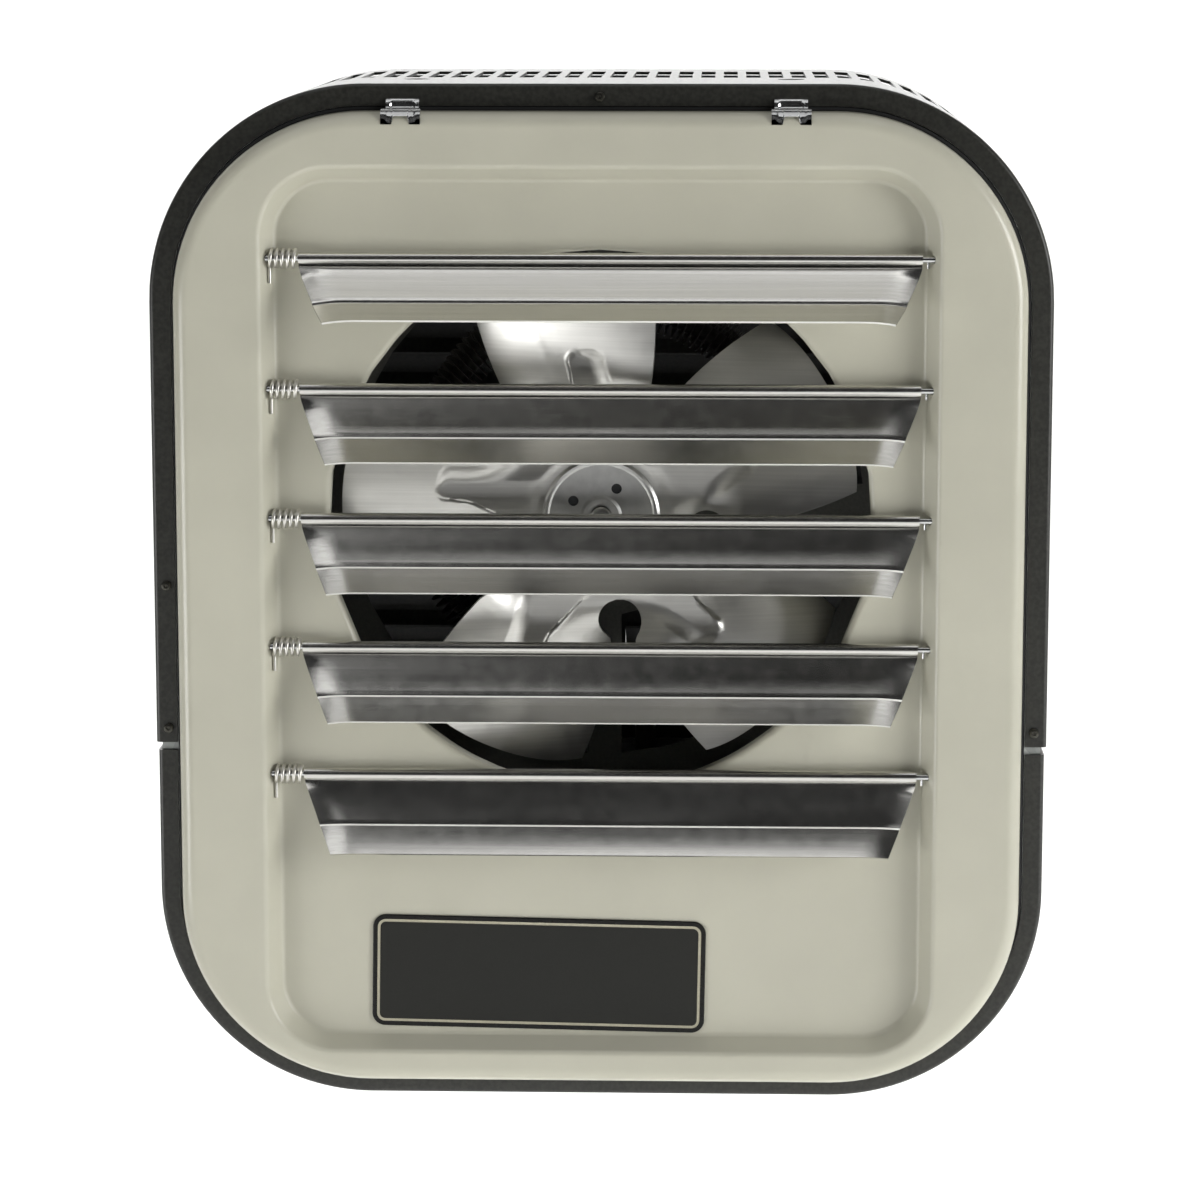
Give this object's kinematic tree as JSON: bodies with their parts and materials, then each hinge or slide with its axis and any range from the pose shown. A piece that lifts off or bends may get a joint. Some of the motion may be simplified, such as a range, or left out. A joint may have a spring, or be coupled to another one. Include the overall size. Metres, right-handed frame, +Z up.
{
  "type": "ceiling mounted fan heater",
  "caption": "Electric fan-forced unit heater for ceiling mounting: rounded steel cabinet, front pan with adjustable louvers over a fan, finned elements and a drop-down wiring cover.",
  "frame": {"origin": "middle of the flat ceiling face on top of the cabinet, on the line through the two hanging nuts", "axes": "+Z up through the ceiling face, -Y the way the air leaves, +X to the right seen from the front"},
  "size_m": [0.3556, 0.2107, 0.4061],
  "materials": {
    "cabinet_paint": "baked semi-gloss charcoal enamel",
    "panel_paint": "baked warm beige-grey enamel, semi-gloss",
    "galvanised_sheet": "galvanised sheet, dull spangle",
    "bright_steel": "bright zinc plated steel",
    "screw_steel": "dark zinc plated screws",
    "spring_steel": "drawn music wire, nickel plated",
    "nameplate_face": "printed charcoal field with a thin cream line, no lettering",
    "fan_aluminium": "stamped mill-finish sheet, satin",
    "louver_aluminium": "bright roll-formed sheet",
    "hub_steel": "turned steel, satin",
    "motor_paint": "black enamel",
    "element_sheath": "steel sheath with spiral fins, oxidised",
    "black_moulding": "moulded phenolic",
    "cream_moulding": "moulded cream phenolic",
    "earth_brass": "plain brass"
  },
  "bodies": {
    "cabinet": {"cabinet_wrap": "cabinet_paint", "chassis_plate": "galvanised_sheet", "rear_panel": "cabinet_paint", "front_panel": "panel_paint", "nameplate": "nameplate_face", "panel_clip_left": "bright_steel", "panel_clip_right": "bright_steel", "hanger_nut_left": "bright_steel", "hanger_nut_right": "bright_steel", "rim_screw_top": "screw_steel", "rim_screw_left_high": "screw_steel", "rim_screw_left_low": "screw_steel", "rim_screw_right_low": "screw_steel", "cover_hinge_leaf": "galvanised_sheet", "cover_hinge_pin": "bright_steel", "motor_plate": "motor_paint", "motor_front_bell": "motor_paint", "motor_body": "motor_paint", "motor_rear_bell": "motor_paint", "heating_element_1": "element_sheath", "heating_element_2": "element_sheath", "heating_element_3": "element_sheath", "element_bracket_left": "galvanised_sheet", "element_bracket_right": "galvanised_sheet", "element_bracket_top": "galvanised_sheet", "control_shelf": "galvanised_sheet", "control_tray": "galvanised_sheet", "contactor": "black_moulding", "terminal_block": "cream_moulding", "limit_cutout": "black_moulding", "earth_lug": "earth_brass", "cable_bushing": "black_moulding", "louver_spring_1": "spring_steel", "louver_spring_2": "spring_steel", "louver_spring_3": "spring_steel", "louver_spring_4": "spring_steel", "louver_spring_5": "spring_steel"},
    "cover": {"lower_cover": "cabinet_paint"},
    "fan": {"fan_rotor": "fan_aluminium", "fan_hub": "hub_steel", "motor_shaft": "bright_steel"},
    "louver_1": {"louver_blade_1": "louver_aluminium", "louver_rod_1": "bright_steel"},
    "louver_2": {"louver_blade_2": "louver_aluminium", "louver_rod_2": "bright_steel"},
    "louver_3": {"louver_blade_3": "louver_aluminium", "louver_rod_3": "bright_steel"},
    "louver_4": {"louver_blade_4": "louver_aluminium", "louver_rod_4": "bright_steel"},
    "louver_5": {"louver_blade_5": "louver_aluminium", "louver_rod_5": "bright_steel"}
  },
  "joints": [
    {"name": "fan_spin", "type": "hinge", "parent": "cabinet", "child": "fan", "pos_m": [0, -0.03, -0.172], "axis": [0, -1, 0], "continuous": true},
    {"name": "cover_hinge", "type": "hinge", "parent": "cabinet", "child": "cover", "pos_m": [0, 0.1234, -0.403], "axis": [1, 0, 0], "range_deg": [0, 90]},
    {"name": "louver_1_tilt", "type": "hinge", "parent": "cabinet", "child": "louver_1", "pos_m": [0, -0.0586, -0.0675], "axis": [1, 0, 0], "range_deg": [-38, 42]},
    {"name": "louver_2_tilt", "type": "hinge", "parent": "cabinet", "child": "louver_2", "pos_m": [0, -0.0586, -0.1188], "axis": [1, 0, 0], "range_deg": [-50, 30]},
    {"name": "louver_3_tilt", "type": "hinge", "parent": "cabinet", "child": "louver_3", "pos_m": [0, -0.0586, -0.1701], "axis": [1, 0, 0], "range_deg": [-50, 30]},
    {"name": "louver_4_tilt", "type": "hinge", "parent": "cabinet", "child": "louver_4", "pos_m": [0, -0.0586, -0.2214], "axis": [1, 0, 0], "range_deg": [-50, 30]},
    {"name": "louver_5_tilt", "type": "hinge", "parent": "cabinet", "child": "louver_5", "pos_m": [0, -0.0586, -0.2727], "axis": [1, 0, 0], "range_deg": [-61, 19]}
  ]
}
